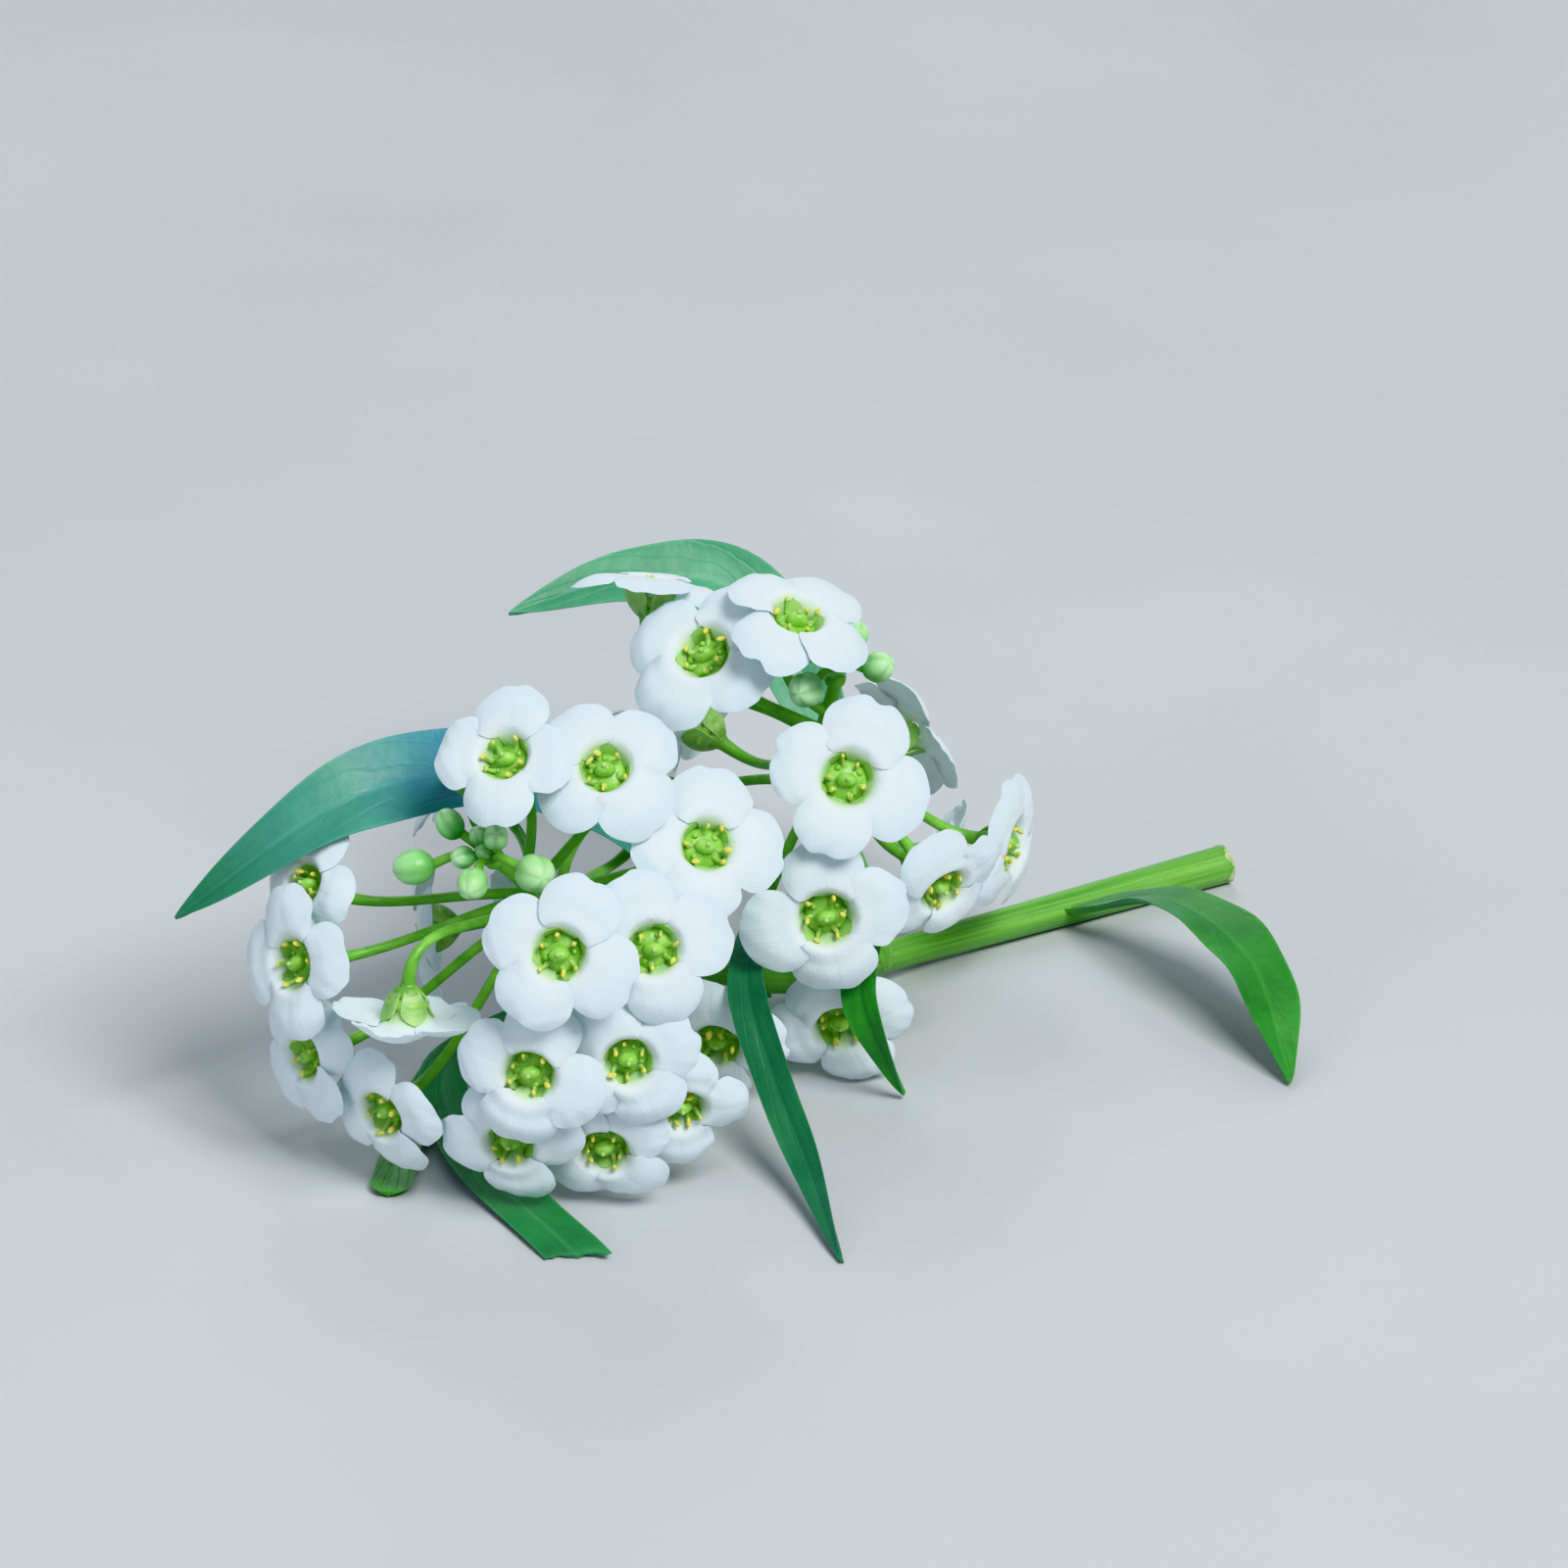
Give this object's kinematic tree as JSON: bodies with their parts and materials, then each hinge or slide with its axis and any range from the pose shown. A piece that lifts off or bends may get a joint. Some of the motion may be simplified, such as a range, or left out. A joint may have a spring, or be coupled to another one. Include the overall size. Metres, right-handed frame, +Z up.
{
  "type": "sweet alyssum flower",
  "caption": "Cut sprig of sweet alyssum lying down: a forked stem with two round clusters of small white four-petalled flowers, green buds and narrow leaves.",
  "frame": {"origin": "middle of the sprig's footprint, on the surface it lies on", "axes": "+X to the right as seen from the flowers' side, +Y from the flowers towards the stem's cut end, +Z up from the surface"},
  "size_m": [0.0418, 0.0312, 0.0184],
  "materials": {
    "petal_white": "satin",
    "calyx_green": "satin",
    "stem_green": "satin",
    "bud_green": "satin",
    "leaf_green": "satin"
  },
  "bodies": {
    "root": {"stem": "stem_green", "raceme_a": "calyx_green", "raceme_b": "calyx_green", "buds_a": "bud_green", "buds_b": "bud_green", "leaf_over_raceme_a": "leaf_green", "leaf_front_right": "leaf_green", "leaf_small_right": "leaf_green", "leaf_with_torn_tip": "leaf_green", "leaf_low_left": "leaf_green", "leaf_behind_raceme_b": "leaf_green", "leaf_low_on_stem": "leaf_green", "petals_a01": "petal_white", "petals_a02": "petal_white", "petals_a03": "petal_white", "petals_a04": "petal_white", "petals_a05": "petal_white", "petals_a06": "petal_white", "petals_a07": "petal_white", "petals_a08": "petal_white", "petals_a09": "petal_white", "petals_a10": "petal_white", "petals_a11": "petal_white", "petals_a12": "petal_white", "petals_a13": "petal_white", "petals_a14": "petal_white", "petals_a15": "petal_white", "petals_a16": "petal_white", "petals_a17": "petal_white", "petals_a18": "petal_white", "petals_a19": "petal_white", "petals_a20": "petal_white", "petals_b01": "petal_white", "petals_b02": "petal_white", "petals_b03": "petal_white", "petals_b04": "petal_white", "petals_b05": "petal_white", "petals_b06": "petal_white", "petals_b07": "petal_white", "petals_b08": "petal_white", "petals_b09": "petal_white", "petals_b10": "petal_white", "petals_b11": "petal_white", "petals_b12": "petal_white", "petals_b13": "petal_white"}
  },
  "joints": []
}
